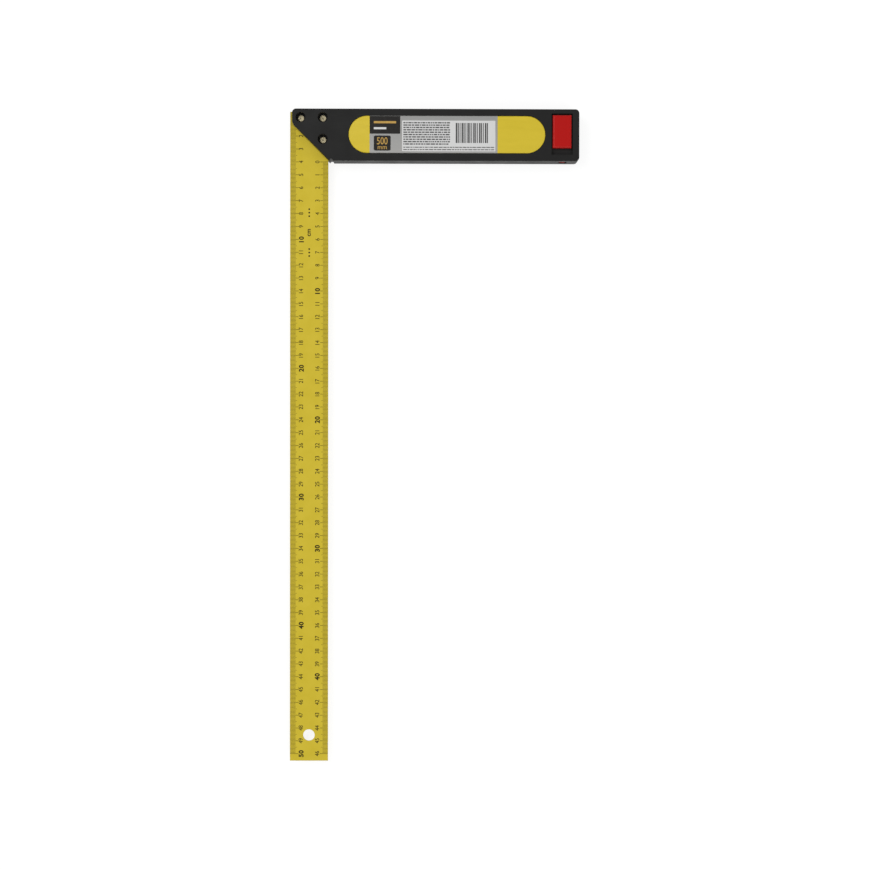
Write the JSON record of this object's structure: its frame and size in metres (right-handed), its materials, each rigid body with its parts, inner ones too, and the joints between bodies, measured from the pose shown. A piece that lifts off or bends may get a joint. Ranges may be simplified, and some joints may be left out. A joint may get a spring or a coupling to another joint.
{
  "type": "carpenter square",
  "caption": "Carpenter square: graduated flat blade riveted at a right angle into a moulded stock with a 45 degree mitre end and a slide-out support ledge.",
  "frame": {"origin": "middle of the square's overall footprint, on the plane of the stock's rear face", "axes": "+X along the stock away from the blade, +Y along the blade towards the stock, +Z out of the front face"},
  "size_m": [0.2236, 0.5056, 0.021],
  "materials": {
    "coated_blade": "yellow coated strip with black graduations",
    "stock_plastic": "black moulded plastic, fine grain",
    "inlay_plastic": "yellow moulded plastic",
    "label_paper": "grey coated sticker",
    "ledge_plastic": "red moulded plastic",
    "rivet_metal": "plated steel",
    "screw_metal": "zinc-plated steel"
  },
  "bodies": {
    "square": {"blade": "coated_blade", "stock_front_shell": "stock_plastic", "stock_rear_shell": "stock_plastic", "face_inlay": "inlay_plastic", "paper_label": "label_paper", "rivets": "rivet_metal", "shell_screws": "screw_metal"},
    "ledge": {"thumb_button": "ledge_plastic", "support_ledge": "ledge_plastic"}
  },
  "joints": [
    {"name": "ledge_slide", "type": "slide", "parent": "square", "child": "ledge", "axis": [0, -1, 0], "range_m": [0, 0.0046]}
  ]
}
